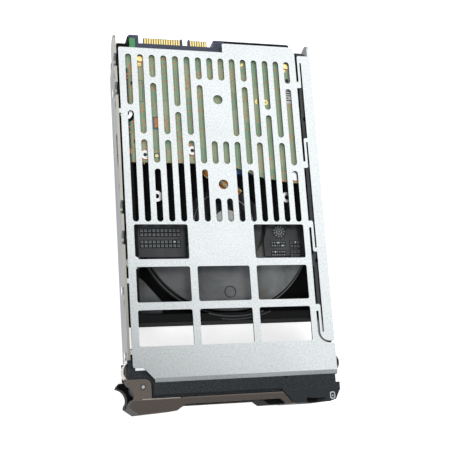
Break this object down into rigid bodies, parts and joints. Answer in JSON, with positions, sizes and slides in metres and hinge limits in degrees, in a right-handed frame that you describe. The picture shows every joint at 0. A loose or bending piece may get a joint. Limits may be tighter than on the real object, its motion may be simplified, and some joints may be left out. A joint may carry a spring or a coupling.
{
  "type": "hot-swap drive caddy with drive",
  "caption": "Perforated sheet-metal drive tray with a sprung side wall, moulded bezel, swing handle with ejector claw, sliding latch and an installed hard disk drive.",
  "frame": {"origin": "on the drive's centre line, at half the caddy's length, in the plane of the drive's cover, on which the caddy lies", "axes": "+X to the right across the tray as seen on its perforated face, +Y from the bezel to the drive's connectors, +Z from the drive's cover to the perforated face"},
  "size_m": [0.1114, 0.1919, 0.0272],
  "materials": {
    "galvanised_sheet": "spangled galvanised sheet",
    "bright_steel": "bright plated",
    "black_casting": "black electrocoat",
    "satin_aluminium": "satin",
    "green_board": "solder mask",
    "socket_plastic": "moulded",
    "gold_plate": "gold plated",
    "orange_film": "polyimide film",
    "bezel_plastic": "fine texture",
    "cap_plastic": "smooth satin",
    "lens_plastic": "clear light pipe",
    "taupe_plastic": "satin",
    "spring_steel": "bright"
  },
  "bodies": {
    "carrier": {"tray_sheet": "galvanised_sheet", "drive_studs": "bright_steel", "drive_casting": "black_casting", "drive_cover": "satin_aluminium", "cover_screws": "bright_steel", "circuit_board": "green_board", "board_screws": "bright_steel", "connector_socket": "socket_plastic", "power_contacts": "gold_plate", "data_contacts": "gold_plate", "spindle_motor": "satin_aluminium", "motor_lead": "orange_film", "bezel_frame": "bezel_plastic", "bezel_rivets": "bright_steel", "end_cap": "cap_plastic", "status_lenses": "lens_plastic", "hinge_pin": "bright_steel", "contact_spring_left": "spring_steel", "contact_spring_right": "spring_steel"},
    "handle": {"handle_frame": "taupe_plastic", "handle_grille": "bezel_plastic", "ejector_claw": "bezel_plastic"},
    "latch": {"release_latch": "cap_plastic"}
  },
  "joints": [
    {"name": "handle_hinge", "type": "hinge", "parent": "carrier", "child": "handle", "pos_m": [-0.0458, -0.0823, 0.01355], "axis": [0, 0, -1], "range_deg": [0, 55]},
    {"name": "latch_slide", "type": "slide", "parent": "carrier", "child": "latch", "axis": [1, 0, 0], "range_m": [0, 0.0025], "stiffness_N_per_m": 600}
  ]
}
